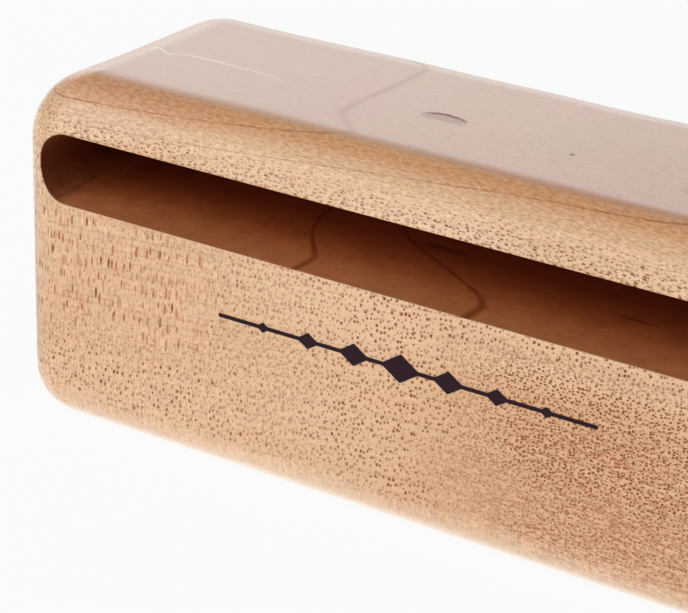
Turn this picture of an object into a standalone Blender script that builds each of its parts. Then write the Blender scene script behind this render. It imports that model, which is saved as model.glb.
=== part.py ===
# Concert wood block: one carved maple block with a milled sound slot, and a printed mark on its front.
# Metres, +Z up, +X along the block, -Y is the front with the slot.
# The origin is the middle of the underside.

import math

import bmesh
import bpy

# Outside of the block
BLOCK_LENGTH = 0.168
BLOCK_DEPTH = 0.0612
BLOCK_HEIGHT = 0.065
TOP_EDGE_RADIUS = 0.0125
UPRIGHT_EDGE_RADIUS = 0.0122
BOTTOM_EDGE_RADIUS = 0.0088
EDGE_SEGMENTS = 10

# Sound slot, milled from the front with a cutter whose axis lies along Y
SLOT_HEIGHT = 0.0128
SOUNDING_PLATE = 0.0087
END_WALL = 0.0072
BACK_WALL = 0.013
MOUTH_RADIUS = 0.0003
BLIND_END_RADIUS = 0.001
SLOT_END_SEGMENTS = 18
SLOT_CORNER_STEPS = 4

# Printed mark below the slot, a rule that opens into a row of lozenges, tallest in the middle
MARK_LENGTH = 0.0736
MARK_BELOW_SLOT = 0.0121
MARK_THICKNESS = 0.0001
RULE_HEIGHT = 0.0007
LOZENGE_HEIGHT = 0.0052
LOZENGE_STEP_DOWN = 0.0011
LOZENGES_EACH_SIDE = 3
LOZENGE_FILL = 0.85

# Places that follow from the sizes above
FRONT = -BLOCK_DEPTH / 2
SLOT_ROOF = BLOCK_HEIGHT - SOUNDING_PLATE
SLOT_FLOOR = SLOT_ROOF - SLOT_HEIGHT
SLOT_MIDDLE = (SLOT_ROOF + SLOT_FLOOR) / 2
SLOT_END_CENTRE = BLOCK_LENGTH / 2 - END_WALL - SLOT_HEIGHT / 2
BLIND_END = BLOCK_DEPTH / 2 - BACK_WALL
MARK_MIDDLE = SLOT_FLOOR - MARK_BELOW_SLOT
LOZENGE_SPACING = MARK_LENGTH / (2 * LOZENGES_EACH_SIDE + 2)


def clear_scene():
    for obj in list(bpy.data.objects):
        bpy.data.objects.remove(obj)


def new_collection(name):
    collection = bpy.data.collections.new(name)
    bpy.context.scene.collection.children.link(collection)
    return collection


def move_to(obj, collection):
    for holder in list(obj.users_collection):
        holder.objects.unlink(obj)
    collection.objects.link(obj)


def material(name, colour, roughness, coat=0.0):
    made = bpy.data.materials.new(name)
    made.use_nodes = True
    shader = made.node_tree.nodes["Principled BSDF"]
    shader.inputs["Base Color"].default_value = (*colour, 1.0)
    shader.inputs["Roughness"].default_value = roughness
    shader.inputs["Metallic"].default_value = 0.0
    shader.inputs["Coat Weight"].default_value = coat
    return made


def edge_radius(edge):
    """The rounding of one edge of the plain block, by the way it runs and where it lies."""
    a, b = (vert.co for vert in edge.verts)
    if abs(a.z - b.z) > BLOCK_HEIGHT / 2:
        return UPRIGHT_EDGE_RADIUS
    return TOP_EDGE_RADIUS if a.z > 0 else BOTTOM_EDGE_RADIUS


def rounded_block(wood, collection):
    """The outside of the block. Bevel weights give each family of edges its own radius."""
    bpy.ops.mesh.primitive_cube_add(size=1, location=(0, 0, BLOCK_HEIGHT / 2))
    block = bpy.context.object
    block.name = "block_body"
    block.scale = (BLOCK_LENGTH, BLOCK_DEPTH, BLOCK_HEIGHT)
    bpy.ops.object.transform_apply(location=False, rotation=False, scale=True)
    largest = max(TOP_EDGE_RADIUS, UPRIGHT_EDGE_RADIUS, BOTTOM_EDGE_RADIUS)
    shape = bmesh.new()
    shape.from_mesh(block.data)
    weight = shape.edges.layers.float.new("bevel_weight_edge")
    for edge in shape.edges:
        edge[weight] = edge_radius(edge) / largest
    shape.to_mesh(block.data)
    shape.free()
    bevel = block.modifiers.new("rounded_edges", "BEVEL")
    bevel.limit_method = "WEIGHT"
    bevel.width = largest
    bevel.segments = EDGE_SEGMENTS
    block.data.shade_smooth()
    block.data.materials.append(wood)
    move_to(block, collection)
    return block


def face_setback(x, z):
    """How far the rounded outside lies behind the plane of the front, at this height and length."""
    side = max(0.0, abs(x) - (BLOCK_LENGTH / 2 - UPRIGHT_EDGE_RADIUS))
    rise = max(0.0, z - (BLOCK_HEIGHT - TOP_EDGE_RADIUS))
    radius = TOP_EDGE_RADIUS if rise > 0 else UPRIGHT_EDGE_RADIUS
    return radius - math.sqrt(max(radius**2 - side**2 - rise**2, 0.0))


def slot_outline(grow):
    """(x, z) points round the slot, its size grown by this much on every side."""
    radius = SLOT_HEIGHT / 2 + grow
    points = []
    for centre, start in ((SLOT_END_CENTRE, -90), (-SLOT_END_CENTRE, 90)):
        for step in range(SLOT_END_SEGMENTS + 1):
            turn = math.radians(start + 180 * step / SLOT_END_SEGMENTS)
            points.append((centre + radius * math.cos(turn), SLOT_MIDDLE + radius * math.sin(turn)))
    return points


def slot_rings():
    """Rings of the cutter from outside the front to the slot's blind end. Its mouth is rounded over."""
    turns = [math.radians(90 * step / SLOT_CORNER_STEPS) for step in range(1, SLOT_CORNER_STEPS + 1)]
    rings = []
    flare = MOUTH_RADIUS * (1 - math.sin(turns[0]))
    rings.append([(x, FRONT - SLOT_HEIGHT, z) for x, z in slot_outline(flare)])
    for turn in turns:
        depth = MOUTH_RADIUS * (1 - math.cos(turn))
        outline = slot_outline(MOUTH_RADIUS * (1 - math.sin(turn)))
        rings.append([(x, FRONT + face_setback(x, z) + depth, z) for x, z in outline])
    for turn in [0.0] + turns:
        depth = BLIND_END - BLIND_END_RADIUS * (1 - math.sin(turn))
        outline = slot_outline(-BLIND_END_RADIUS * (1 - math.cos(turn)))
        rings.append([(x, depth, z) for x, z in outline])
    return rings


def slot_cutter(collection):
    """A loft, because the mouth follows the rounded front of the block."""
    shape = bmesh.new()
    rings = [[shape.verts.new(point) for point in ring] for ring in slot_rings()]
    for near, far in zip(rings, rings[1:]):
        for index in range(len(near)):
            after = (index + 1) % len(near)
            shape.faces.new((near[index], near[after], far[after], far[index]))
    shape.faces.new(rings[0])
    shape.faces.new(rings[-1])
    bmesh.ops.recalc_face_normals(shape, faces=shape.faces)
    mesh = bpy.data.meshes.new("slot_cutter")
    shape.to_mesh(mesh)
    shape.free()
    mesh.shade_smooth()
    cutter = bpy.data.objects.new("slot_cutter", mesh)
    collection.objects.link(cutter)
    cutter.hide_render = True
    cutter.display_type = "WIRE"
    return cutter


def carve_slot(block, cutter):
    cut = block.modifiers.new("sound_slot", "BOOLEAN")
    cut.operation = "DIFFERENCE"
    cut.object = cutter
    block.modifiers.new("even_shading", "WEIGHTED_NORMAL")


def mark_edge():
    """Upper edge of the mark, from left to right."""
    half_rule = RULE_HEIGHT / 2
    edge = [(-MARK_LENGTH / 2, half_rule)]
    for place in range(-LOZENGES_EACH_SIDE, LOZENGES_EACH_SIDE + 1):
        height = LOZENGE_HEIGHT - abs(place) * LOZENGE_STEP_DOWN
        width = LOZENGE_FILL * LOZENGE_SPACING * height / LOZENGE_HEIGHT
        middle = place * LOZENGE_SPACING
        shoulder = width / 2 * (1 - RULE_HEIGHT / height)
        edge += [(middle - shoulder, half_rule), (middle, height / 2), (middle + shoulder, half_rule)]
    edge.append((MARK_LENGTH / 2, half_rule))
    return edge


def printed_mark(ink, collection):
    upper = mark_edge()
    outline = upper + [(x, -z) for x, z in reversed(upper)]
    curve = bpy.data.curves.new("printed_mark", "CURVE")
    curve.dimensions = "2D"
    curve.fill_mode = "BOTH"
    curve.extrude = MARK_THICKNESS / 2
    line = curve.splines.new("POLY")
    line.points.add(len(outline) - 1)
    for point, (x, z) in zip(line.points, outline):
        point.co = (x, z, 0, 1)
    line.use_cyclic_u = True
    curve.materials.append(ink)
    mark = bpy.data.objects.new("printed_mark", curve)
    mark.rotation_euler = (math.radians(90), 0, 0)
    mark.location = (0, FRONT - MARK_THICKNESS / 2, MARK_MIDDLE)
    collection.objects.link(mark)
    return mark


def main():
    clear_scene()
    parts = new_collection("wood_block")
    cutters = new_collection("cutters")
    wood = material("lacquered_maple", (0.71, 0.44, 0.26), 0.32, coat=0.5)
    ink = material("dark_print", (0.030, 0.012, 0.018), 0.55)
    block = rounded_block(wood, parts)
    carve_slot(block, slot_cutter(cutters))
    printed_mark(ink, parts)


main()
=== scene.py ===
import math

import bmesh
import bpy
from mathutils import Matrix, Vector, noise


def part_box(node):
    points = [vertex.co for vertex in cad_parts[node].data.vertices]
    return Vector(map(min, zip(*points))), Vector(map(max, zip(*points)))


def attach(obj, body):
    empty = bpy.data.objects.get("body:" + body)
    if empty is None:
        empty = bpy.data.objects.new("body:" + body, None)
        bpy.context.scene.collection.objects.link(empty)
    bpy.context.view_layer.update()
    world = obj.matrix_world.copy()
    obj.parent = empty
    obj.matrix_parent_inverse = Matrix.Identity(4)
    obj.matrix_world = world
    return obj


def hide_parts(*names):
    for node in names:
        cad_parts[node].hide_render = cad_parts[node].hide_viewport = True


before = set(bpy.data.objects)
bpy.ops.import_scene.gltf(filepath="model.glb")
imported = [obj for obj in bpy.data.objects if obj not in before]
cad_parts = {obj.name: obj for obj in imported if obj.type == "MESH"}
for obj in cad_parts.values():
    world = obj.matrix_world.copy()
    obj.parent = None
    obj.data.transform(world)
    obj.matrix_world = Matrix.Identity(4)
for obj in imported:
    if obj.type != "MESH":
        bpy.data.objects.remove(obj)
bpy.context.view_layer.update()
blockLow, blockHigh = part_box("block_body")
blockSize = blockHigh - blockLow
toMillimetres = 1000.0
print(f"frame loaded, block {blockSize.x:.4f} x {blockSize.y:.4f} x {blockSize.z:.4f} m")


def paint(red, green, blue):
    # a colour as a paint picker shows it, 0 to 255, turned into Blender's linear values
    def linear(value):
        share = value / 255
        return share / 12.92 if share <= 0.04045 else ((share + 0.055) / 1.055) ** 2.4

    return (linear(red), linear(green), linear(blue), 1.0)


class Signal:
    # a node's output, so that shader maths reads as plain arithmetic
    def __init__(self, recipe, socket):
        self.recipe = recipe
        self.socket = socket

    def maths(self, operation, *values):
        return self.recipe.node("ShaderNodeMath", {"operation": operation}, dict(enumerate(values)))

    def __add__(self, other):
        return self.maths("ADD", self, other)

    def __sub__(self, other):
        return self.maths("SUBTRACT", self, other)

    def __rsub__(self, other):
        return self.maths("SUBTRACT", other, self)

    def __mul__(self, other):
        return self.maths("MULTIPLY", self, other)

    def __truediv__(self, other):
        return self.maths("DIVIDE", self, other)

    def __abs__(self):
        return self.maths("ABSOLUTE", self)

    __radd__ = __add__
    __rmul__ = __mul__

    def smaller(self, other):
        return self.maths("MINIMUM", self, other)

    def larger(self, other):
        return self.maths("MAXIMUM", self, other)

    def fade(self, start, end):
        # 0 at start, 1 at end, with a soft turn at both
        values = {"Value": self, "From Min": start, "From Max": end}
        return self.recipe.node("ShaderNodeMapRange", {"interpolation_type": "SMOOTHSTEP"}, values)


class Recipe:
    # the node tree of one material or world
    def __init__(self, owner):
        owner.use_nodes = True
        self.tree = owner.node_tree
        self.tree.nodes.clear()

    def node(self, kind, settings=None, values=None, output=0):
        made = self.tree.nodes.new(kind)
        for name, setting in (settings or {}).items():
            if name == "stops":
                self.setStops(made.color_ramp.elements, setting)
            else:
                setattr(made, name, setting)
        for name, value in (values or {}).items():
            if isinstance(value, Signal):
                self.tree.links.new(value.socket, made.inputs[name])
            else:
                made.inputs[name].default_value = value
        return Signal(self, made.outputs[output]) if made.outputs else made

    def setStops(self, elements, stops):
        while len(elements) < len(stops):
            elements.new(0.5)
        for element, (at, tone) in zip(elements, stops):
            element.position = at
            element.color = tone

    def vector(self, operation, *values):
        return self.node("ShaderNodeVectorMath", {"operation": operation}, dict(enumerate(values)))

    def parts(self, vector):
        first = self.node("ShaderNodeSeparateXYZ", {}, {0: vector})
        return [Signal(self, socket) for socket in first.socket.node.outputs]

    def point(self, x, y, z):
        return self.node("ShaderNodeCombineXYZ", {}, {0: x, 1: y, 2: z})

    def mix(self, factor, first, second, blend="MIX"):
        settings = {"data_type": "RGBA", "blend_type": blend}
        return self.node("ShaderNodeMix", settings, {0: factor, 6: first, 7: second}, 2)

    def tinted(self, colour, tint):
        return self.mix(1.0, colour, tint, "MULTIPLY")

    def waves(self, place, size, detail=2.0, roughness=0.5):
        # soft noise from -1 to 1 around 0, with features about this many millimetres across
        values = {"Vector": place, "Scale": 1 / size, "Detail": detail, "Roughness": roughness}
        return (self.node("ShaderNodeTexNoise", {}, values) - 0.5) * 2

    def stretchedWaves(self, place, sizes, detail=2.0, roughness=0.5):
        # the same with features of a different size along each axis
        return self.waves(self.vector("DIVIDE", place, sizes), 1, detail, roughness)


# Shape of the body. The top edges are rounded by hand, so their width wanders a little along the block.
bodyShape = {
    "topRadius": 0.0125,
    "uprightRadius": 0.0122,
    "bottomRadius": 0.0088,
    "topEase": 0.09,
    "handWander": 0.08,
    "wanderLength": 0.022,
    "arcSteps": 24,
    "straightStep": 0.0025,
    "leastCorner": 0.0003,
    "slotHeight": 0.0128,
    "soundingPlate": 0.0087,
    "endWall": 0.0072,
    "backWall": 0.013,
    "mouthRadius": 0.0003,
    "blindEndRadius": 0.001,
    "slotEndSteps": 40,
    "slotCornerSteps": 6,
}


def plainOutline(inset, wander):
    # points round the block at one height, drawn in from its sides by inset
    corner = max(bodyShape["uprightRadius"] - inset, bodyShape["leastCorner"])
    drawnIn = max(bodyShape["uprightRadius"], inset + bodyShape["leastCorner"])
    centreX, centreY = blockSize.x / 2 - drawnIn, blockSize.y / 2 - drawnIn
    centres = [Vector((x * centreX, y * centreY)) for x, y in ((1, 1), (-1, 1), (-1, -1), (1, -1))]
    arcSteps = bodyShape["arcSteps"]
    longSteps = round(blockSize.x / bodyShape["straightStep"])
    shortSteps = round(blockSize.y / bodyShape["straightStep"])
    points = []
    for quarter, centre in enumerate(centres):
        for step in range(arcSteps + 1):
            turn = math.radians(90 * (quarter + step / arcSteps))
            normal = Vector((math.cos(turn), math.sin(turn)))
            points.append((centre + normal * corner, normal))
        start, normal = points[-1]
        nextArc = centres[(quarter + 1) % 4] + normal * corner
        between = longSteps if quarter % 2 == 0 else shortSteps
        points += [(start.lerp(nextArc, step / between), normal) for step in range(1, between)]
    moved = []
    for place, normal in points:
        sway = noise.noise(Vector((place.x, place.y, 0)) / bodyShape["wanderLength"])
        moved.append(place - normal * inset * wander * sway)
    return moved


def bodyRings():
    steps = bodyShape["arcSteps"]
    rings = []
    for step in range(steps + 1):
        turn = math.radians(90 * step / steps)
        inset = bodyShape["bottomRadius"] * (1 - math.sin(turn))
        rise = bodyShape["bottomRadius"] * (1 - math.cos(turn))
        rings.append((blockLow.z + rise, plainOutline(inset, 0)))
    for step in range(steps, -1, -1):
        turn = math.radians(90 * step / steps)
        # a sanded edge runs out softly into the flat top
        ease = 1 + bodyShape["topEase"] * math.cos(turn) ** 6
        inset = bodyShape["topRadius"] * (1 - math.sin(turn)) * ease
        drop = bodyShape["topRadius"] * (1 - math.cos(turn))
        rings.append((blockHigh.z - drop, plainOutline(inset, bodyShape["handWander"])))
    return rings


def loftMesh(name, rings):
    shape = bmesh.new()
    made = [[shape.verts.new(point) for point in ring] for ring in rings]
    for near, far in zip(made, made[1:]):
        for index, vert in enumerate(near):
            after = (index + 1) % len(near)
            shape.faces.new((vert, near[after], far[after], far[index]))
    shape.faces.new(made[0])
    shape.faces.new(made[-1])
    bmesh.ops.recalc_face_normals(shape, faces=shape.faces)
    mesh = bpy.data.meshes.new(name)
    shape.to_mesh(mesh)
    shape.free()
    mesh.shade_smooth()
    return mesh


def faceSetback(x, z):
    # how far the rounded outside lies behind the plane of the front
    side = max(0.0, abs(x) - (blockSize.x / 2 - bodyShape["uprightRadius"]))
    rise = max(0.0, z - (blockHigh.z - bodyShape["topRadius"]))
    radius = bodyShape["topRadius"] if rise > 0 else bodyShape["uprightRadius"]
    return radius - math.sqrt(max(radius**2 - side**2 - rise**2, 0.0))


def slotOutline(grow):
    roof = blockHigh.z - bodyShape["soundingPlate"]
    middle = roof - bodyShape["slotHeight"] / 2
    centre = blockSize.x / 2 - bodyShape["endWall"] - bodyShape["slotHeight"] / 2
    radius = bodyShape["slotHeight"] / 2 + grow
    points = []
    for side, start in ((1, -90), (-1, 90)):
        for step in range(bodyShape["slotEndSteps"] + 1):
            turn = math.radians(start + 180 * step / bodyShape["slotEndSteps"])
            points.append((side * centre + radius * math.cos(turn), middle + radius * math.sin(turn)))
    return points


def slotRings():
    mouth, blind = bodyShape["mouthRadius"], bodyShape["blindEndRadius"]
    steps = bodyShape["slotCornerSteps"]
    turns = [math.radians(90 * step / steps) for step in range(1, steps + 1)]
    front = blockLow.y
    blindEnd = blockHigh.y - bodyShape["backWall"]
    flare = slotOutline(mouth * (1 - math.sin(turns[0])))
    rings = [[(x, front - bodyShape["slotHeight"], z) for x, z in flare]]
    for turn in turns:
        depth = mouth * (1 - math.cos(turn))
        outline = slotOutline(mouth * (1 - math.sin(turn)))
        rings.append([(x, front + faceSetback(x, z) + depth, z) for x, z in outline])
    for turn in [0.0] + turns:
        depth = blindEnd - blind * (1 - math.sin(turn))
        outline = slotOutline(-blind * (1 - math.cos(turn)))
        rings.append([(x, depth, z) for x, z in outline])
    return rings


def linkedObject(name, mesh, finishes):
    made = bpy.data.objects.new(name, mesh)
    bpy.context.scene.collection.objects.link(made)
    for finish in finishes:
        mesh.materials.append(finish)
    return made


def makeBody(outside, inside):
    rings = [[(p.x, p.y, z) for p in outline] for z, outline in bodyRings()]
    body = linkedObject("maple_body", loftMesh("maple_body", rings), (outside, inside))
    cutter = linkedObject("slot_cutter", loftMesh("slot_cutter", slotRings()), (outside, inside))
    # the rounded mouth is finished with the outside, the rest of the slot is not
    mouthFaces = bodyShape["slotCornerSteps"] * len(slotOutline(0))
    for face in cutter.data.polygons:
        face.material_index = 0 if face.index < mouthFaces else 1
    cut = body.modifiers.new("sound_slot", "BOOLEAN")
    cut.operation = "DIFFERENCE"
    cut.material_mode = "TRANSFER"
    cut.object = cutter
    graph = bpy.context.evaluated_depsgraph_get()
    carved = bpy.data.meshes.new_from_object(body.evaluated_get(graph))
    body.modifiers.clear()
    body.data = carved
    carved.name = "maple_body"
    bpy.data.objects.remove(cutter)
    even = body.modifiers.new("even_shading", "WEIGHTED_NORMAL")
    even.weight = 80
    even.keep_sharp = True
    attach(body, "root")
    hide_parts("block_body")
    print(f"body carved, {len(carved.polygons)} faces, {len(carved.materials)} finishes")


# How the growth layers lie: nearly flat at the left, then rising to the right, steepest before the middle.
# The rise starts later and is smaller high in the block. Towards the back the layers crown, each crown
# from its own place on to the right, one as the top shows it and one as the slot's floor shows it.
growthLayers = {
    "rise": {"x": (8.0, 100.0), "height": 3.43, "slope": 0.052},
    "late": {"z": (20.0, 40.0), "by": 8.0},
    "share": {"low": 1.25, "loss": 0.7, "z": (5.0, 78.0)},
    "topCrown": {"x": 34.0, "slope": 0.0333, "y": (4.5, 23.0), "most": 1.7, "loss": 0.9, "z": (46, 60)},
    "slotCrown": {"x": 46.0, "slope": 0.17, "y": (5.0, 30.0), "most": 2.45},
    "leastCrown": 0.1,
    "aboveSlotFloor": (43.8, 46),
    "steadyFront": 6.0,
    "longSway": {"size": 18, "height": 0.12},
    "shortSway": {"size": 4, "height": 0.03},
}


def growthHeight(recipe, place, x, y, z):
    # where a point lies in the tree's growth, in millimetres. Each year's ring is one such height.
    lie = growthLayers
    rise, late, share = lie["rise"], lie["late"], lie["share"]
    along = x - z.fade(*late["z"]) * late["by"]
    climb = along.fade(*rise["x"]) * rise["height"] + (along - rise["x"][0]) * rise["slope"]
    climb = climb * (share["low"] - z.fade(*share["z"]) * share["loss"])

    def crown(one, most):
        height = ((x - one["x"]) * one["slope"]).larger(lie["leastCrown"]).smaller(most)
        return height * y.fade(*one["y"])

    top, slot = lie["topCrown"], lie["slotCrown"]
    topCrown = crown(top, top["most"] - z.fade(*top["z"]) * top["loss"])
    slotCrown = crown(slot, slot["most"])
    crowned = slotCrown + (topCrown - slotCrown) * z.fade(*lie["aboveSlotFloor"])
    steady = recipe.point(x, y.larger(lie["steadyFront"]), z)
    far, near = lie["longSway"], lie["shortSway"]
    longSway = recipe.waves(steady, far["size"], 2) * far["height"]
    shortSway = recipe.waves(steady, near["size"], 1) * near["height"]
    return z - climb - crowned + (longSway + shortSway)


# Which way a face is turned, as the upright or lengthwise share of its normal. The struck face also lies in
# the upper half of the height.
facing = {
    "flat": (0.55, 0.97),
    "struck": (0.97, 0.998),
    "upperHalf": (40, 60),
    "end": (0.8, 0.99),
}


class WoodPoint:
    # where a point of the wood lies, how its face is turned and where in the growth it is
    def __init__(self, recipe):
        coordinates = recipe.node("ShaderNodeTexCoord", output="Object")
        corner = [-toMillimetres * value for value in blockLow]
        self.place = recipe.vector("MULTIPLY_ADD", coordinates, [toMillimetres] * 3, corner)
        self.x, self.y, self.z = recipe.parts(self.place)
        endward, _, upward = recipe.parts(recipe.node("ShaderNodeNewGeometry", output="Normal"))
        self.upward = abs(upward)
        self.end = abs(endward).fade(*facing["end"])
        self.flat = self.upward.fade(*facing["flat"])
        self.upperHalf = self.z.fade(*facing["upperHalf"])
        self.struck = self.upward.fade(*facing["struck"]) * self.upperHalf
        self.growth = growthHeight(recipe, self.place, self.x, self.y, self.z)


# Broad colour: pale and warm wood in drifting patches, warmer to the right and in some years' layers. Low on
# the right the warmer, darker tone is partly the wood's own and partly painted shade for less light there.
broadLook = {
    "paleTone": paint(218, 180, 143),
    "warmTone": paint(201, 152, 105),
    "rosyTint": paint(255, 249, 247),
    "sandyTint": paint(253, 253, 246),
    "warmth": 0.22,
    "patches": {"size": 26, "share": 0.4},
    "years": {"size": 5, "share": 0.3},
    "lowRight": {"x": (62, 128), "z": (50, 27), "bottom": (12, 5), "share": 0.36},
    "highRight": {"x": (88, 118), "z": (52, 56), "upright": (0.5, 0.8), "share": 0.25},
    "highMiddle": {"x": 70, "away": (24, 6), "z": (32, 40), "end": (52, 46), "share": 0.25, "lift": 0.02},
    "rosySize": 3,
}


def broadColour(recipe, wood):
    look = broadLook
    x, y, z = wood.x, wood.y, wood.z
    low, high, middle = look["lowRight"], look["highRight"], look["highMiddle"]
    drift = recipe.waves(recipe.vector("MULTIPLY", wood.place, (0.5, 1, 1)), look["patches"]["size"], 3)
    years = recipe.waves(recipe.point(wood.growth, x * 0.02, 7.0), look["years"]["size"], 3)
    # low on the right: the wood's warmer tone, partly painted shade for less light and reflection there
    lowRight = x.fade(*low["x"]) * z.fade(*low["z"]) * (1 - z.fade(*low["bottom"]) * 0.5)
    highRight = x.fade(*high["x"]) * z.fade(*high["z"]) * (1 - wood.upward.fade(*high["upright"]))
    highMiddle = abs(x - middle["x"]).fade(*middle["away"]) * z.fade(*middle["z"]) * z.fade(*middle["end"])
    warmth = drift * look["patches"]["share"] + years * look["years"]["share"] + look["warmth"]
    warmth = warmth + lowRight * low["share"] + highRight * high["share"] - highMiddle * middle["share"]
    colour = recipe.mix(warmth.fade(0, 1), look["paleTone"], look["warmTone"])
    rosy = recipe.waves(recipe.point(x * 0.2, y * 0.3, wood.growth), look["rosySize"], 3).fade(-0.5, 0.5)
    colour = recipe.tinted(colour, recipe.mix(rosy, look["sandyTint"], look["rosyTint"]))
    return colour, drift, highMiddle * middle["lift"]


# The finer grain, as shares of light: fibres along the block, the hatch of the rays across them, a mottle
# of pores and the bands of the years. The sizes are along X, Y and Z.
grainLook = {
    "light": 1.03,
    "fibres": {"sizes": (9, 0.32, 0.32), "share": 0.12, "underside": 0.16},
    "hatch": {"sizes": (0.36, 1.2, 5), "least": 0.1, "left": (62, 36), "share": 0.32,
              "bottom": (9, 6), "bottomShare": 0.4},
    "mottle": {"sizes": (0.45, 0.6, 0.4), "share": 0.26},
    "bands": {"size": 1.8, "share": 0.06, "underside": 0.2},
    "flatLoss": 0.7,
    "underside": {"z": (0.6, 0.1), "loss": 0.06},
}


def wovenGrain(recipe, wood):
    look = grainLook
    fibres, hatch, mottle, bands = look["fibres"], look["hatch"], look["mottle"], look["bands"]
    fibre = recipe.stretchedWaves(wood.place, fibres["sizes"], 3, 0.6)
    across = recipe.stretchedWaves(wood.place, hatch["sizes"], 2, 0.6)
    pores = recipe.stretchedWaves(wood.place, mottle["sizes"], 2, 0.6)
    band = recipe.waves(recipe.point(wood.growth, wood.x * 0.03, wood.y * 0.03), bands["size"], 2)
    hatched = (wood.x.fade(*hatch["left"]) * hatch["share"]).larger(
        wood.z.fade(*hatch["bottom"]) * hatch["bottomShare"]) + hatch["least"]
    steep = (across * hatched + pores * mottle["share"]) * (1 - wood.upward * look["flatLoss"])
    shade = look["light"] + fibre * fibres["share"] + band * bands["share"] + steep
    under = fibre * fibres["underside"] + band * bands["underside"] - look["underside"]["loss"]
    shade = shade + wood.z.fade(*look["underside"]["z"]) * under
    return shade, fibre, across


# Curled grain low on the right, in short wavy lines.
curlLook = {
    "tone": paint(160, 88, 50),
    "x": (84, 122),
    "z": (40, 27),
    "upright": (0.4, 0.8),
    "drift": 20,
    "ripples": {"sizes": (4, 9, 1.6), "share": 0.15},
    "lines": {"long": 3.2, "deep": 9, "tall": 1.1, "slant": 0.5, "edge": (0.13, 0.02), "strength": 0.55},
}


def curledGrain(recipe, wood, drift):
    look, lines = curlLook, curlLook["lines"]
    zone = (wood.x + drift * look["drift"]).fade(*look["x"]) * wood.z.fade(*look["z"])
    zone = zone * (1 - wood.upward.fade(*look["upright"]))
    ripples = recipe.stretchedWaves(wood.place, look["ripples"]["sizes"]) * zone * look["ripples"]["share"]
    along = wood.x / lines["long"] + wood.growth * lines["slant"]
    curl = recipe.waves(recipe.point(along, wood.y / lines["deep"], wood.growth / lines["tall"]), 1)
    return ripples, abs(curl).fade(*lines["edge"]) * zone * lines["strength"]


# End grain is darker, with its own fine speckle.
endLook = {
    "tone": paint(176, 122, 82),
    "share": 0.8,
    "speckle": {"size": 0.45, "share": 0.12},
}


def endGrain(recipe, wood, colour):
    speckle = endLook["speckle"]
    speckled = wood.end * recipe.waves(wood.place, speckle["size"], 2, 0.7) * speckle["share"]
    return recipe.mix(wood.end * endLook["share"], colour, endLook["tone"]), speckled


# Ray flecks. Rays run into the block and show where they are cut across, in rows along the growth layers:
# long dashes high on the left of the front, short grains round them, dots elsewhere, specks at the right
# and a leathery pattern on the shoulder. The sizes are of one cell, the size is a fleck's share of it.
fleckLook = {
    "fleckTone": paint(124, 68, 26),
    "redFleckTone": paint(180, 88, 44),
    "rayLean": 0.06,
    "rayTurn": 0.3,
    "rayDip": 0.45,
    "leastSize": 0.5,
    "sizeSpread": 0.7,
    "edge": (1.12, 0.6),
    "patches": {"size": 14, "shift": 9},
    "dashes": {"across": 0.85, "tall": 3.5, "size": 0.33, "faint": 0.08,
               "x": (60, 34), "z": (14, 26), "end": (46, 40), "hatching": 1.6},
    "grains": {"across": 0.94, "tall": 1.3, "size": 0.3, "faint": 0.4,
               "x": (78, 46), "end": (46, 41), "amongDashes": 0.45},
    "dots": {"across": 0.86, "tall": 1.08, "size": 0.34, "faint": 0.42,
             "end": (61, 57), "thinning": (52, 57), "loss": 0.6},
    "specks": {"across": 0.74, "tall": 0.64, "size": 0.37, "faint": 0.7,
               "x": (84, 112), "end": (44, 36)},
    "leather": {"across": 1.15, "tall": 0.6, "size": 0.36, "faint": 0.4, "slant": 0.2,
                "z": (53, 57), "strength": 0.75, "thinning": (58, 61), "loss": 0.35, "upright": (0.97, 0.86)},
    "rows": 0.6,
    "right": {"x": (76, 106), "z": (15, 23), "high": 0.55, "low": 0.2},
    "lip": {"z": (50, 56), "strength": 0.2},
    "bottom": {"z": (9.5, 5.5), "loss": 0.6},
    "endLoss": 0.8,
    "flatLoss": 0.8,
    "slotShare": 0.25,
    "redness": {"dashes": 0.75, "others": 0.15, "size": 3},
}


def rayCells(recipe, wood, layer):
    look = fleckLook
    across = (wood.x - wood.growth * look["rayLean"] - wood.y * look["rayTurn"]) / layer["across"]
    along = (wood.growth + wood.y * look["rayDip"] + wood.x * layer.get("slant", 0.0)) / layer["tall"]
    values = {"Vector": recipe.point(across, along, 0.0), "Scale": 1.0, "Randomness": 1.0}
    cells = recipe.node("ShaderNodeTexVoronoi", {"voronoi_dimensions": "2D", "feature": "F1"}, values)
    distance, cellColour = [Signal(recipe, socket) for socket in cells.socket.node.outputs][:2]
    sizeChance, toneChance, _ = recipe.parts(cellColour)
    reach = (sizeChance * look["sizeSpread"] + look["leastSize"]) * layer["size"]
    return (distance / reach).fade(*look["edge"]) * (toneChance * (1 - layer["faint"]) + layer["faint"])


def fleckZones(recipe, wood):
    look, z = fleckLook, wood.z
    dashes, grains, dots = look["dashes"], look["grains"], look["dots"]
    specks, leather = look["specks"], look["leather"]
    patchy = recipe.waves(wood.place, look["patches"]["size"]) * look["patches"]["shift"]
    x = wood.x + patchy
    dashZone = x.fade(*dashes["x"]) * (z + patchy * 0.5).fade(*dashes["z"]) * z.fade(*dashes["end"])
    grainZone = x.fade(*grains["x"]) * z.fade(*grains["end"]) * (1 - dashZone * 0.6)
    speckZone = x.fade(*specks["x"]) * z.fade(*specks["end"])
    thinning = z.fade(*leather["thinning"]) * leather["loss"]
    leatherZone = z.fade(*leather["z"]) * (leather["strength"] - thinning)
    dotZone = (1 - dashZone * 0.9) * (1 - grainZone * 0.7) * (1 - speckZone)
    return {
        "dashes": dashZone,
        "grains": grainZone.larger(dashZone * grains["amongDashes"]),
        "dots": dotZone * z.fade(*dots["end"]) * (1 - z.fade(*dots["thinning"]) * dots["loss"]),
        "specks": speckZone,
        "leather": leatherZone * wood.upward.fade(*leather["upright"]),
    }


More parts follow.
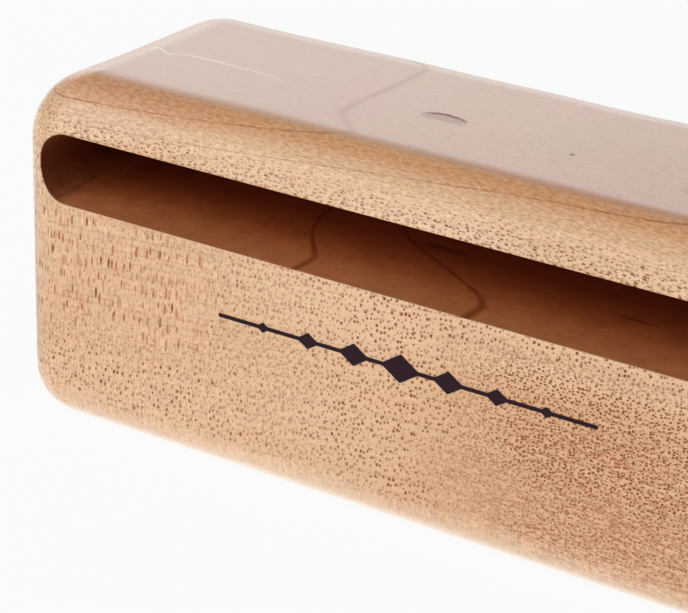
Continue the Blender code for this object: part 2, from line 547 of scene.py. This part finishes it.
def rayFlecks(recipe, wood, hatch, outside):
    look = fleckLook
    zones = fleckZones(recipe, wood)
    fleck = 0
    for kind, zone in zones.items():
        fleck = (rayCells(recipe, wood, look[kind]) * zone).larger(fleck)
    right, lip, bottom = look["right"], look["lip"], look["bottom"]
    rows = recipe.waves(recipe.point(wood.x * 0.1, wood.growth * 1.1, 0.0), 1) * look["rows"]
    strong = wood.x.fade(*right["x"]) * (wood.z.fade(*right["z"]) * right["high"] - right["low"])
    strong = strong + wood.z.fade(*lip["z"]) * lip["strength"]
    hatched = hatch * zones["dashes"] * look["dashes"]["hatching"]
    fleck = (fleck * (1 + hatched + rows + strong)).smaller(1.0)
    fleck = fleck * (1 - wood.end * look["endLoss"]) * (1 - wood.flat * look["flatLoss"])
    fleck = fleck * (1 - wood.z.fade(*bottom["z"]) * bottom["loss"]) * (1.0 if outside else look["slotShare"])
    red = look["redness"]
    redness = zones["dashes"] * red["dashes"] + red["others"]
    redness = redness * recipe.waves(wood.place, red["size"], 1).fade(-0.35, 0.35)
    return fleck, recipe.mix(redness, look["fleckTone"], look["redFleckTone"])


# Thin dark lines where one year's growth ends. Some years' lines are strong, each at its own height.
ringLook = {
    "ringTone": paint(140, 76, 38),
    "spacing": 3.0,
    "width": 0.13,
    "flatNarrowing": 0.06,
    "plainStrength": 0.36,
    "plainFlatLoss": 0.32,
    "gaps": {"sizes": (5, 12, 2), "from": -0.45, "to": 0.35},
    "shoulderGain": {"upward": (0.3, 0.8), "share": 0.6, "flatLoss": 0.5, "least": 0.4},
    "rightGain": {"x": (70, 115), "share": 0.6},
    "lipGain": {"z": (56, 60), "share": 0.5},
    "slotStart": (8, 16),
    "struckLoss": 0.65,
    "outsideShare": 0.85,
    "strongRings": ((62.0, 0.8), (58.7, 0.6), (39.9, 0.9), (37.05, 0.9), (32.2, 0.6), (28.2, 0.5),
                    (25.7, 0.8), (19.6, 0.8), (13.8, 0.7), (10.1, 0.4), (8.2, 0.4), (7.0, 0.5),
                    (5.2, 0.4), (4.3, 0.5)),
}


def yearRings(recipe, wood, outside):
    look = ringLook
    thin = look["width"] - wood.upward * look["flatNarrowing"]
    edge = recipe.node("ShaderNodeTexVoronoi", {"voronoi_dimensions": "1D", "feature": "DISTANCE_TO_EDGE"},
                       {"W": wood.growth / look["spacing"], "Scale": 1.0, "Randomness": 0.8})
    gaps = look["gaps"]
    broken = recipe.stretchedWaves(wood.place, gaps["sizes"], 3, 0.6).fade(gaps["from"], gaps["to"])
    plain = look["plainStrength"] - wood.flat * look["plainFlatLoss"]
    ring = (edge * look["spacing"] / thin).fade(1.3, 0.0) * broken * plain
    boldness = broken * 0.5 + 0.5
    if outside:
        gain, right = look["shoulderGain"], look["rightGain"]
        turned = wood.upward.fade(*gain["upward"]) * (1 - wood.flat * gain["flatLoss"])
        boldness = boldness * (turned * gain["share"] + gain["least"])
        boldness = boldness * (1 + wood.x.fade(*right["x"]) * right["share"])
    else:
        boldness = boldness * wood.x.fade(*look["slotStart"])
    for level, strength in look["strongRings"]:
        ring = ring.larger((abs(wood.growth - level) / thin).fade(1.6, 0.0) * boldness * strength)
    lip = wood.z.fade(*look["lipGain"]["z"]) * look["lipGain"]["share"]
    return (ring * (1 - wood.struck * look["struckLoss"]) * (1 + lip)).smaller(1.0)


# The rounded edges: the shoulder is cut across other fibres, so it is warmer, with a fine leathery figure.
# Painted light lifts the shoulder, less at the left, and painted shade darkens the top, more to the right.
# The bottom rounding is paler towards the floor: painted light for the white floor's bounce and reflection.
edgeLook = {
    "shoulderTint": paint(255, 235, 221),
    "shoulder": {"upward": (0.79, 0.93), "left": (55, 30), "wider": 0.09},
    "leatherDark": paint(224, 205, 178),
    "leatherPale": paint(238, 218, 186),
    "leather": {"z": (57, 61), "long": 1.4, "tall": 0.4, "slant": 0.15, "spread": 0.6, "paleShare": 0.24},
    "paintedShoulderLight": {"share": 0.16, "left": (50, 20), "loss": 0.11},
    "struckShade": {"right": (80, 125), "share": 0.07, "least": 0.02},
    "paintedBounceTone": paint(240, 224, 202),
    "bottom": {"z": (9.5, 4), "right": (10, 60), "share": 0.15, "least": 0.08,
               "rim": (4.6, 2), "rimShare": 0.6, "upright": (0.998, 0.93)},
}


def shoulderFigure(recipe, wood, colour):
    look = edgeLook
    leather, light, struck = look["leather"], look["paintedShoulderLight"], look["struckShade"]
    along = (wood.growth + wood.y * fleckLook["rayDip"] + wood.x * leather["slant"]) / leather["tall"]
    figure = recipe.waves(recipe.point(wood.x / leather["long"], along, 2.0), 1, 2, 0.6)
    leathery = wood.z.fade(*leather["z"]) * (1 - wood.struck)
    darkSide = recipe.tinted(colour, look["leatherDark"])
    paleSide = recipe.mix(leather["paleShare"], colour, look["leatherPale"])
    figured = recipe.mix(figure.fade(-leather["spread"], leather["spread"]), darkSide, paleSide)
    colour = recipe.mix(leathery, colour, figured)
    # painted light: the shoulder's figured band made lighter, less so at the left
    shade = leathery * (light["share"] - wood.x.fade(*light["left"]) * light["loss"])
    # painted shade: the top face darker, more so to the right
    shade = shade - wood.struck * (wood.x.fade(*struck["right"]) * struck["share"] + struck["least"])
    turned = wood.upward + wood.x.fade(*look["shoulder"]["left"]) * look["shoulder"]["wider"]
    shoulder = turned.fade(*look["shoulder"]["upward"]) * (1 - wood.struck) * wood.upperHalf
    return recipe.mix(shoulder, colour, recipe.tinted(colour, look["shoulderTint"])), shade


def paintedFloorBounce(recipe, wood, colour):
    # painted light: the bottom rounding paler, most near the floor and more to the right, for the floor's
    # bounce and reflection
    bottom = edgeLook["bottom"]
    pale = wood.z.fade(*bottom["z"]) * (wood.x.fade(*bottom["right"]) * bottom["share"] + bottom["least"])
    pale = (pale + wood.z.fade(*bottom["rim"]) * bottom["rimShare"]) * wood.upward.fade(*bottom["upright"])
    return recipe.mix(pale, colour, edgeLook["paintedBounceTone"])


# What grew in the top: a pale bark line, a dark mineral streak and a pin knot. The rosy and grey tints are
# painted shade over the top face, in patches, and the worn tone is a painted reflection, strongest at the
# left.
topMarks = {
    "rosyTint": paint(246, 228, 234),
    "greyTint": paint(238, 236, 230),
    "rosyRight": {"x": (90, 125), "share": 0.5},
    "worn": {"tone": paint(226, 190, 193), "left": 0.18, "right": 0.02, "x": (10, 120)},
    "fine": {"sizes": (2.0, 0.8, 1), "from": 0.1, "to": 0.6, "x": (30, 105), "strength": 0.7},
    "rosyPatches": {"size": 26, "fineSize": 5, "fineShare": 0.25},
    "paleLine": {"start": (10, 12), "end": (50, 26), "y": 28.4, "sway": 0.9, "width": 0.42,
                 "fall": (34, 45), "fallBy": 1.8, "tone": paint(236, 210, 180)},
    "paleDip": {"x": 16.3, "reach": 3.4, "depth": 2.0},
    "streak": {"x": 73.9, "y": 28.0, "long": 4.9, "wide": 1.9, "bend": 0.9, "ragged": 0.35,
               "rim": 0.75, "rimShare": 0.7, "ovalShare": 0.3, "tone": paint(128, 40, 26)},
    "pinKnot": {"x": 99.9, "y": 25.3, "radius": 0.6, "strength": 0.8, "tone": paint(110, 56, 48)},
}


def topShadeSheenAndFlecks(recipe, wood, colour):
    # painted shade: the struck face darker, in rosy and grey patches, with a painted reflection at its left
    # and fine flecks
    line, streak, worn, fine = [topMarks[name] for name in ("paleLine", "streak", "worn", "fine")]
    x, struck, patches = wood.x, wood.struck, topMarks["rosyPatches"]
    rosy = recipe.waves(wood.place, patches["size"], 3, 0.6)
    rosy = rosy + recipe.waves(wood.place, patches["fineSize"]) * patches["fineShare"]
    rosy = (rosy + x.fade(*topMarks["rosyRight"]["x"]) * topMarks["rosyRight"]["share"]).fade(-0.4, 0.4)
    tint = recipe.mix(rosy, topMarks["greyTint"], topMarks["rosyTint"])
    colour = recipe.mix(struck, colour, recipe.tinted(colour, tint))
    # painted reflection: a pale rosy tone, strongest at the left of the top
    wear = (worn["left"] - x.fade(*worn["x"]) * (worn["left"] - worn["right"])) * struck
    colour = recipe.mix(wear, colour, worn["tone"])
    grain = recipe.stretchedWaves(wood.place, fine["sizes"], 4, 0.65)
    flecks = abs(grain).fade(fine["from"], fine["to"]) * (x.fade(*fine["x"]) * 0.7 + 0.3) * struck
    fleckTone = recipe.mix(grain.fade(-0.1, 0.1), streak["tone"], line["tone"])
    return recipe.mix(flecks * fine["strength"], colour, fleckTone)


def topFigure(recipe, wood, colour):
    line, dip, streak, knot = [topMarks[name] for name in ("paleLine", "paleDip", "streak", "pinKnot")]
    x, y, struck = wood.x, wood.y, wood.struck
    colour = topShadeSheenAndFlecks(recipe, wood, colour)
    wander = recipe.waves(recipe.point(x, 3.0, 5.0), 5, 4, 0.7) * line["sway"]
    wander = wander - x.fade(*line["fall"]) * line["fallBy"]
    wander = wander - (abs(x - dip["x"]) / dip["reach"]).fade(1, 0) * dip["depth"]
    ends = x.fade(*line["start"]) * x.fade(*line["end"])
    pale = (abs(y - line["y"] - wander) / line["width"]).fade(1.3, 0.3) * ends * struck
    colour = recipe.mix(pale, colour, line["tone"])
    # the streak is a flat oval with a darker, ragged upper edge
    ragged = recipe.waves(recipe.point(x, y, 1.0), 1.4, 3, 0.6) * streak["ragged"]
    across = (x - streak["x"]) / streak["long"]
    upward = (y - streak["y"]) / streak["wide"] + across * across * streak["bend"]
    oval = (across * across + upward * upward + ragged).fade(1.1, 0.5)
    rim = abs(upward - streak["rim"] + ragged).fade(0.4, 0.05) * abs(across).fade(1.0, 0.7)
    stain = (oval * streak["ovalShare"] + rim * streak["rimShare"]).smaller(1.0) * struck
    colour = recipe.mix(stain, colour, streak["tone"])
    fromKnot = recipe.point(x - knot["x"], y - knot["y"], 0.0)
    far = recipe.node("ShaderNodeVectorMath", {"operation": "LENGTH"}, {0: fromKnot}, "Value")
    dark = (far / knot["radius"] + ragged).fade(1.2, 0.4) * struck * knot["strength"]
    return recipe.mix(dark, colour, knot["tone"]), stain.larger(dark)


# Bare wood in the slot, made browner and darker towards its blind end by painted shade, and darker still at
# its left end by painted shade, with a seam where the round end starts and two dark smudges. The painted
# shade is given by depth.
slotMarks = {
    "paintedDepthShade": ((0.0, paint(229, 184, 152)), (4.4, paint(231, 184, 149)), (8.7, paint(228, 174, 132)),
                 (13.0, paint(219, 154, 108)), (17.5, paint(202, 132, 92)), (23.0, paint(190, 108, 84))),
    "seam": {"x": 11.2, "lean": -0.06, "sway": 0.6, "width": 0.22, "y": (17, 10), "dark": 0.4,
             "endSoftness": 2.5},
    "raggedSmudges": 0.3,
    "smudges": ({"x": 77.5, "y": 23.2, "long": 6.5, "wide": 1.2, "dark": 0.45},
                {"x": 118.5, "y": 16.0, "long": 4.5, "wide": 0.4, "dark": 0.6}),
    "blotches": {"size": 3.5, "share": 0.35},
    "dust": {"sizes": (0.5, 0.3, 0.3), "from": -0.1, "to": 0.6, "share": 0.35},
    "paintedEndShade": paint(172, 150, 150),
    "dustTint": paint(84, 60, 50),
    "darkTint": paint(120, 84, 80),
}


def slotPaintedShadeAndMarks(recipe, wood, colour):
    look, x, y = slotMarks, wood.x, wood.y
    blotch = recipe.waves(wood.place, look["blotches"]["size"], 4, 0.75).fade(-0.6, 0.6)
    colour = recipe.mix(blotch * look["blotches"]["share"], colour, look["darkTint"], "MULTIPLY")
    dust = look["dust"]
    rough = recipe.stretchedWaves(wood.place, dust["sizes"], 3, 0.7).fade(dust["from"], dust["to"])
    colour = recipe.mix(rough * dust["share"], colour, look["dustTint"], "SCREEN")
    # painted shade: the slot's bare wood browner, and darker the deeper in
    reach = look["paintedDepthShade"][-1][0]
    stops = [(at / reach, tone) for at, tone in look["paintedDepthShade"]]
    colour = recipe.tinted(colour, recipe.node("ShaderNodeValToRGB", {"stops": stops}, {"Fac": y / reach}))
    seam = look["seam"]
    toSeam = x - seam["x"] - y * seam["lean"] + recipe.waves(wood.place, 4) * seam["sway"]
    dark = abs(toSeam).fade(seam["width"] * 2, 0) * y.fade(*seam["y"]) * seam["dark"]
    ragged = recipe.waves(wood.place, 2) * look["raggedSmudges"]
    for smudge in look["smudges"]:
        across = (x - smudge["x"]) / smudge["long"]
        upward = (y - smudge["y"]) / smudge["wide"] + ragged
        dark = dark.larger((across * across + upward * upward).fade(1.2, 0.2) * smudge["dark"])
    # painted shade: the slot's left round end darker
    inEnd = toSeam.fade(seam["endSoftness"], -seam["endSoftness"])
    endShaded = recipe.mix(inEnd, (1, 1, 1, 1), look["paintedEndShade"])
    return recipe.tinted(colour, recipe.mix(dark, endShaded, look["darkTint"]))


# The satin lacquer outside, thinner where flecks, rings and marks open the wood, and bare wood in the slot.
finishLook = {
    "roughness": 0.42,
    "fleckRoughness": 0.1,
    "fibreRoughness": 0.05,
    "bareRoughness": 0.15,
    "coat": 1.0,
    "coatLoss": 0.9,
    "coatRoughness": 0.2,
    "coatIor": 1.6,
    "specular": 0.15,
    "bareSpecular": 0.2,
    "bump": 0.1,
    "bumpDepth": 0.0002,
    "fibreHeight": 0.5,
    "fleckDepth": 0.8,
}


def mapleMaterial(name, outside):
    material = bpy.data.materials.new(name)
    recipe = Recipe(material)
    wood = WoodPoint(recipe)
    colour, drift, lift = broadColour(recipe, wood)
    shade, fibre, hatch = wovenGrain(recipe, wood)
    ripples, curlLine = curledGrain(recipe, wood, drift)
    colour, speckled = endGrain(recipe, wood, colour)
    shade = shade + lift + ripples + speckled

    fleck, fleckTone = rayFlecks(recipe, wood, hatch, outside)
    ring = yearRings(recipe, wood, outside)
    colour = recipe.mix(fleck, colour, fleckTone)
    colour = recipe.mix(curlLine, colour, curlLook["tone"])
    colour = recipe.mix(ring * (ringLook["outsideShare"] if outside else 1.0), colour, ringLook["ringTone"])
    # the shoulder's figure, with painted light on the shoulder and painted shade on the top
    colour, paintedLightAndShade = shoulderFigure(recipe, wood, colour)
    shade = shade + paintedLightAndShade
    colour = paintedFloorBounce(recipe, wood, colour)
    colour = recipe.tinted(colour, recipe.point(shade, shade, shade))

    look = finishLook
    roughness = look["roughness"] + fleck * look["fleckRoughness"] + fibre * look["fibreRoughness"]
    if outside:
        colour, marks = topFigure(recipe, wood, colour)
        coat = look["coat"] - fleck.larger(ring).larger(marks) * look["coatLoss"]
        specular = look["specular"]
    else:
        colour = slotPaintedShadeAndMarks(recipe, wood, colour)
        roughness = roughness + look["bareRoughness"]
        coat, specular = 0.0, look["bareSpecular"]
    height = fibre * look["fibreHeight"] - fleck * look["fleckDepth"] - ring
    relief = {"Strength": look["bump"], "Distance": look["bumpDepth"], "Height": height}
    surface = recipe.node("ShaderNodeBsdfPrincipled", {}, {
        "Base Color": colour,
        "Roughness": roughness,
        "Normal": recipe.node("ShaderNodeBump", {}, relief),
        "Coat Weight": coat,
        "Coat Roughness": look["coatRoughness"],
        "Coat IOR": look["coatIor"],
        "Specular IOR Level": specular,
    })
    recipe.node("ShaderNodeOutputMaterial", {}, {"Surface": surface})
    print(f"material {name} made, {len(recipe.tree.nodes)} nodes")
    return material


# The printed mark is flat dark ink that has sunk a little into the grain.
inkLook = {
    "inkTone": paint(40, 22, 30),
    "wornTone": paint(72, 46, 46),
    "roughness": 0.5,
    "specular": 0.08,
    "speckRoughness": 0.12,
    "grainSizes": (2.4, 1, 0.3),
    "speckSize": 0.35,
    "wear": {"share": 0.6, "from": 0.25, "to": 0.9},
    "bump": 0.2,
    "bumpDepth": 0.0001,
}


def inkMaterial():
    material = bpy.data.materials.new("sunken_ink")
    recipe = Recipe(material)
    coordinates = recipe.node("ShaderNodeTexCoord", output="Object")
    place = recipe.vector("MULTIPLY", coordinates, [toMillimetres] * 3)
    grain = recipe.stretchedWaves(place, inkLook["grainSizes"], 3, 0.6)
    specks = recipe.waves(place, inkLook["speckSize"], 2, 0.7)
    wear = inkLook["wear"]
    worn = (grain * wear["share"] + specks * wear["share"]).fade(wear["from"], wear["to"])
    relief = {"Strength": inkLook["bump"], "Distance": inkLook["bumpDepth"], "Height": grain}
    surface = recipe.node("ShaderNodeBsdfPrincipled", {}, {
        "Base Color": recipe.mix(worn, inkLook["inkTone"], inkLook["wornTone"]),
        "Roughness": inkLook["roughness"] + specks * inkLook["speckRoughness"],
        "Normal": recipe.node("ShaderNodeBump", {}, relief),
        "Specular IOR Level": inkLook["specular"],
    })
    recipe.node("ShaderNodeOutputMaterial", {}, {"Surface": surface})
    return material


# The studio: white walls, dimmer at the left, a white canopy over the front half and a dim ceiling behind
# it, a white floor, and two soft lamps, both from the left.
studio = {
    "wallTop": 30.0,
    "wallSoftness": 3.0,
    "wallLight": 1.0,
    "leftWall": (-0.64, -0.92),
    "leftLoss": 0.5,
    "canopyEnd": 12.0,
    "canopySoftness": 0.22,
    "ceilingLight": 0.1,
    "roomLight": 0.56,
    "roomDimming": 0.2,
    "roomTop": (0.3, 0.9),
    "floorRadius": 4.0,
    "floorTone": 0.9,
    "floorLift": 0.36,
    "floorGlow": 0.925,
    "floorSeenTone": 0.045,
    "lampAim": (-0.03, 0.0, 0.03),
    "keyPlace": (-0.42, -0.79, 0.5),
    "keySize": (1.3, 1.15),
    "keyPower": 6.1,
    "backPlace": (-0.5, 0.69, 0.33),
    "backSize": (0.8, 0.45),
    "backPower": 0.45,
    "cardPlace": (-0.245, -0.09, 0.002),
    "cardSize": (0.3, 0.22),
    "cardTone": 0.9,
}


def seenRays(recipe):
    # rays that show the background itself: the camera's, and those that gloss and clear pieces send on
    rays = [recipe.node("ShaderNodeLightPath", output=name) for name in
            ("Is Camera Ray", "Is Glossy Ray", "Is Transmission Ray")]
    return rays[0], (rays[0] + rays[1] + rays[2]).smaller(1.0)


def makeWorld():
    world = bpy.data.worlds.new("studio_walls")
    bpy.context.scene.world = world
    recipe = Recipe(world)
    along, back, up = recipe.parts(recipe.node("ShaderNodeTexCoord", output="Generated"))
    low = math.sin(math.radians(studio["wallTop"] - studio["wallSoftness"]))
    high = math.sin(math.radians(studio["wallTop"] + studio["wallSoftness"]))
    lean, soft = math.radians(studio["canopyEnd"]), studio["canopySoftness"]
    behindCanopy = (back * math.cos(lean) - up * math.sin(lean)).fade(-soft, soft)
    ceiling = up.fade(low, high) * behindCanopy
    camera, seen = seenRays(recipe)
    wallLight = studio["wallLight"] * (1 - along.fade(*studio["leftWall"]) * studio["leftLoss"])
    walls = wallLight + ceiling * (studio["ceilingLight"] - wallLight)
    room = studio["roomLight"] * (1 - up.fade(*studio["roomTop"]) * studio["roomDimming"])
    light = room + seen * (walls - room)
    strength = light + camera * (1 - light)
    background = recipe.node("ShaderNodeBackground", {}, {"Color": (1, 1, 1, 1), "Strength": strength})
    recipe.node("ShaderNodeOutputWorld", {}, {"Surface": background})


def floorShader(recipe, tone, glow):
    # a white surface that also glows a little, so that it stays even
    plain = recipe.node("ShaderNodeBsdfDiffuse", {}, {"Color": (tone, tone, tone, 1)})
    lift = recipe.node("ShaderNodeEmission", {}, {"Color": (1, 1, 1, 1), "Strength": glow})
    return recipe.node("ShaderNodeAddShader", {}, {0: plain, 1: lift})


def makeFloor():
    bpy.ops.mesh.primitive_circle_add(vertices=96, radius=studio["floorRadius"], fill_type="NGON")
    floor = bpy.context.object
    floor.name = "studio_floor"
    material = bpy.data.materials.new("white_floor")
    recipe = Recipe(material)
    _, seen = seenRays(recipe)
    lit = floorShader(recipe, studio["floorTone"], studio["floorLift"])
    shown = floorShader(recipe, studio["floorSeenTone"], studio["floorGlow"])
    surface = recipe.node("ShaderNodeMixShader", {}, {0: seen, 1: lit, 2: shown})
    recipe.node("ShaderNodeOutputMaterial", {}, {"Surface": surface})
    floor.data.materials.append(material)


def makeLamp(name):
    lamp = bpy.data.lights.new(name + "_lamp", "AREA")
    lamp.shape = "RECTANGLE"
    lamp.size, lamp.size_y = studio[name + "Size"]
    lamp.energy = studio[name + "Power"]
    holder = bpy.data.objects.new(name + "_lamp", lamp)
    place = Vector(studio[name + "Place"])
    holder.location = place
    holder.rotation_euler = (Vector(studio["lampAim"]) - place).to_track_quat("-Z", "Y").to_euler()
    holder.visible_camera = False
    bpy.context.scene.collection.objects.link(holder)


def makeCard():
    # a pale card on the floor left of the block, out of the picture. It doesn't glow as the floor does, so
    # the gloss on the block's rounded end mirrors something a little darker.
    bpy.ops.mesh.primitive_plane_add(size=1, location=studio["cardPlace"])
    card = bpy.context.object
    card.name = "grey_card"
    card.scale = (*studio["cardSize"], 1)
    material = bpy.data.materials.new("grey_card")
    recipe = Recipe(material)
    tone = studio["cardTone"]
    surface = recipe.node("ShaderNodeBsdfDiffuse", {}, {"Color": (tone, tone, tone, 1)})
    recipe.node("ShaderNodeOutputMaterial", {}, {"Surface": surface})
    card.data.materials.append(material)
    card.visible_camera = False
    card.visible_diffuse = False
    card.visible_shadow = False


# The camera stands to the right of the front and looks down on the block's left half.
# Its place is given from the block's lower left front corner, its turns in degrees, its lens in millimetres.
cameraLook = {
    "fromCorner": (0.28879, -0.33433, 0.21322),
    "turn": 32.884,
    "pitch": -23.565,
    "roll": 1.632,
    "lens": 137.51,
    "sensor": 36.0,
    "clipStart": 0.01,
}


def makeCamera():
    lens = bpy.data.cameras.new("photo_camera")
    lens.sensor_fit = "HORIZONTAL"
    lens.sensor_width = cameraLook["sensor"]
    lens.lens = cameraLook["lens"]
    lens.clip_start = cameraLook["clipStart"]
    camera = bpy.data.objects.new("photo_camera", lens)
    turn = Matrix.Rotation(math.radians(cameraLook["turn"]), 4, "Z")
    pitch = Matrix.Rotation(math.radians(90 + cameraLook["pitch"]), 4, "X")
    roll = Matrix.Rotation(math.radians(cameraLook["roll"]), 4, "Z")
    place = Matrix.Translation(Vector(blockLow) + Vector(cameraLook["fromCorner"]))
    camera.matrix_world = place @ turn @ pitch @ roll
    bpy.context.scene.collection.objects.link(camera)
    bpy.context.scene.camera = camera


makeCamera()
makeWorld()
makeFloor()
makeLamp("key")
makeLamp("back")
makeCard()
print("studio ready")
makeBody(mapleMaterial("lacquered_maple", True), mapleMaterial("bare_maple", False))
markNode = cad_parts["printed_mark"]
markNode.data.materials.clear()
markNode.data.materials.append(inkMaterial())
print("mark inked")

bpy.context.scene.view_settings.view_transform = "Standard"
